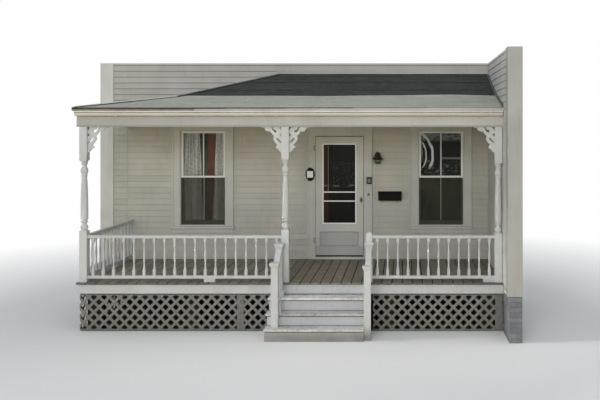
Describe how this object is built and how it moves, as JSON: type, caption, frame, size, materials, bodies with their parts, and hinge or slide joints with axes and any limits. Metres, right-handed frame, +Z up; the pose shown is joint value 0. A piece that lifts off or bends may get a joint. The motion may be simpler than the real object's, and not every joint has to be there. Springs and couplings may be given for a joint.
{
  "type": "front porch",
  "caption": "Roofed front porch with turned posts, fretwork brackets, railings, lattice skirt and steps, on the house walls it leans against, with a storm door that opens.",
  "frame": {"origin": "on the ground, under the middle of the part's box", "axes": "+X to the right along the house, as seen from the front; +Y from the steps back into the house; +Z up"},
  "size_m": [7.138, 2.92, 4.247],
  "materials": {
    "foundation": "weathered gray masonry",
    "wall_paint": "white painted clapboards, weathered",
    "trim_paint": "white painted wood, weathered and chipped",
    "door_paint": "white paint, satin",
    "gutter_paint": "white paint, weathered",
    "glass": "clear",
    "lamp_glass": "frosted",
    "steel": "dull",
    "dark_metal": "dark, worn",
    "black_metal": "black, satin",
    "black_plastic": "matte",
    "bare_wood": "bare, aged",
    "deck_paint": "gray-brown floor paint, worn",
    "tread_paint": "gray floor paint, chipped",
    "sage_roofing": "sage gray roof sheet, matt",
    "dark_roofing": "dark green-gray roll roofing"
  },
  "bodies": {
    "porch": {"foundation_wall": "foundation", "back_wall_left": "wall_paint", "back_wall_right": "wall_paint", "wall_over_door": "wall_paint", "side_wall": "wall_paint", "corner_boards": "trim_paint", "window_casings": "trim_paint", "upper_sashes": "trim_paint", "lower_sashes": "trim_paint", "window_glass": "glass", "door_casing": "trim_paint", "door_sill": "trim_paint", "door_hinges": "steel", "plaque": "black_metal", "wall_lantern": "black_metal", "lantern_globe": "lamp_glass", "mailbox": "black_metal", "keypad_and_bell": "black_plastic", "deck_piers": "foundation", "deck_frame": "bare_wood", "deck_boards": "deck_paint", "deck_fascia": "trim_paint", "lattice_front": "trim_paint", "lattice_side": "trim_paint", "step_stringers": "trim_paint", "step_risers": "trim_paint", "step_treads": "tread_paint", "porch_posts": "trim_paint", "post_brackets": "trim_paint", "front_railings": "trim_paint", "side_railing": "trim_paint", "stair_newels": "trim_paint", "stair_handrails": "trim_paint", "porch_beams": "trim_paint", "gutter": "gutter_paint", "eave_trim": "gutter_paint", "porch_ceiling": "trim_paint", "roof_frame": "bare_wood", "lower_roof": "sage_roofing", "upper_roof": "dark_roofing", "hip_cap": "dark_roofing", "wall_flashing": "trim_paint"},
    "door": {"storm_door": "door_paint", "storm_door_glass": "glass", "door_handle": "dark_metal"}
  },
  "joints": [
    {"name": "storm_door_hinge", "type": "hinge", "parent": "porch", "child": "door", "pos_m": [0.2875, 1.269, 1.84], "axis": [0, 0, -1], "range_deg": [0, 100]}
  ]
}
